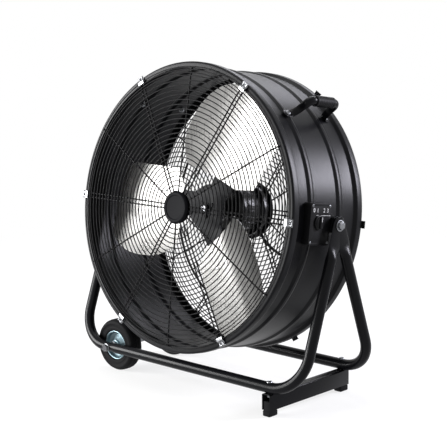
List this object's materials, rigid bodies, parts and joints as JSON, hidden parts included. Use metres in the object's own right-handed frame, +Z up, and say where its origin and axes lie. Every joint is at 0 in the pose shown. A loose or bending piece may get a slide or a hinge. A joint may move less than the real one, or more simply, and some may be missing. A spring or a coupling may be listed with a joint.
{
  "type": "wheeled drum fan",
  "caption": "Black drum fan with wire guards, metal blades and a rear motor, tilting between crossed tube legs with wheels on one side.",
  "frame": {"origin": "on the floor, at the middle of the object's bounding box", "axes": "+X to the right seen from the front, along the wheel-to-foot width; the fan blows towards -Y; +Z up"},
  "size_m": [0.74, 0.3507, 0.77],
  "materials": {
    "powder_black": "satin black powder coat",
    "stand_black": "semi-gloss black powder coat",
    "guard_wire": "semi-gloss black coated wire",
    "badge_lacquer": "satin black pressed sheet",
    "zinc_clip": "bright zinc plate",
    "zinc_fastener": "zinc plated",
    "motor_black": "gloss black",
    "lamination_steel": "lacquered sheet stack",
    "winding_copper": "enamelled copper",
    "bearing_steel": "ground steel",
    "capacitor_shell": "light moulded can",
    "black_moulding": "fine matt texture",
    "knob_moulding": "smooth satin",
    "lead_sheath": "matt sheath",
    "blade_aluminium": "satin rolled sheet",
    "hub_steel": "dark grey satin",
    "rivet_aluminium": "satin",
    "foot_rubber": "matt",
    "tyre_rubber": "moulded tread",
    "rim_zinc": "blued zinc plate",
    "bush_plastic": "natural moulding"
  },
  "bodies": {
    "stand": {"front_stand_tube": "stand_black", "rear_stand_tube": "stand_black", "foot_channel": "stand_black", "rubber_feet": "foot_rubber", "foot_bolts": "zinc_fastener", "wheel_axle": "bearing_steel", "axle_nuts": "zinc_fastener", "axle_spacers": "zinc_fastener"},
    "drum": {"drum_shell": "powder_black", "motor_plate": "powder_black", "right_handle": "stand_black", "left_handle": "stand_black", "pivot_spacers": "stand_black", "front_guard_rings": "guard_wire", "front_guard_spokes": "guard_wire", "rear_guard_rings": "guard_wire", "rear_guard_spokes": "guard_wire", "guard_badge": "badge_lacquer", "front_guard_clips": "zinc_clip", "rear_guard_clips": "zinc_clip", "capacitor_bracket": "zinc_clip", "front_clip_screws": "zinc_fastener", "rear_clip_screws": "zinc_fastener", "motor_plate_bolts": "zinc_fastener", "plate_screws": "zinc_fastener", "pivot_bolts": "zinc_fastener", "pivot_washers": "zinc_fastener", "pivot_nuts": "zinc_fastener", "handle_bolts": "zinc_fastener", "motor_front_bell": "motor_black", "motor_rear_bell": "motor_black", "stator_core": "lamination_steel", "stator_windings": "winding_copper", "motor_bearings": "bearing_steel", "capacitor": "capacitor_shell", "switch_box": "black_moulding", "switch_plate": "black_moulding", "rotary_switch": "black_moulding", "motor_lead": "lead_sheath", "cable_gland": "lead_sheath"},
    "fan": {"motor_shaft": "bearing_steel", "rotor_core": "lamination_steel", "fan_hub": "hub_steel", "fan_blades": "blade_aluminium", "blade_rivets": "rivet_aluminium", "hub_fasteners": "zinc_fastener"},
    "front_wheel": {"front_tyre": "tyre_rubber", "front_wheel_rim": "rim_zinc", "front_wheel_bush": "bush_plastic"},
    "rear_wheel": {"rear_tyre": "tyre_rubber", "rear_wheel_rim": "rim_zinc", "rear_wheel_bush": "bush_plastic"},
    "knob": {"speed_knob": "knob_moulding"}
  },
  "joints": [
    {"name": "drum_tilt", "type": "hinge", "parent": "stand", "child": "drum", "pos_m": [0, 0.005, 0.42], "axis": [-1, 0, 0], "range_deg": [-18, 81.8]},
    {"name": "fan_spin", "type": "hinge", "parent": "drum", "child": "fan", "pos_m": [0, 0.005, 0.42], "axis": [0, -0.9898, 0.1426], "continuous": true},
    {"name": "front_wheel_spin", "type": "hinge", "parent": "stand", "child": "front_wheel", "pos_m": [-0.257, -0.088, 0.064], "axis": [0, 1, 0], "continuous": true},
    {"name": "rear_wheel_spin", "type": "hinge", "parent": "stand", "child": "rear_wheel", "pos_m": [-0.257, 0.098, 0.064], "axis": [0, 1, 0], "continuous": true},
    {"name": "speed_knob_turn", "type": "hinge", "parent": "drum", "child": "knob", "pos_m": [0.347, -0.04491, 0.43123], "axis": [-1, 0, 0], "range_deg": [0, 270]}
  ]
}
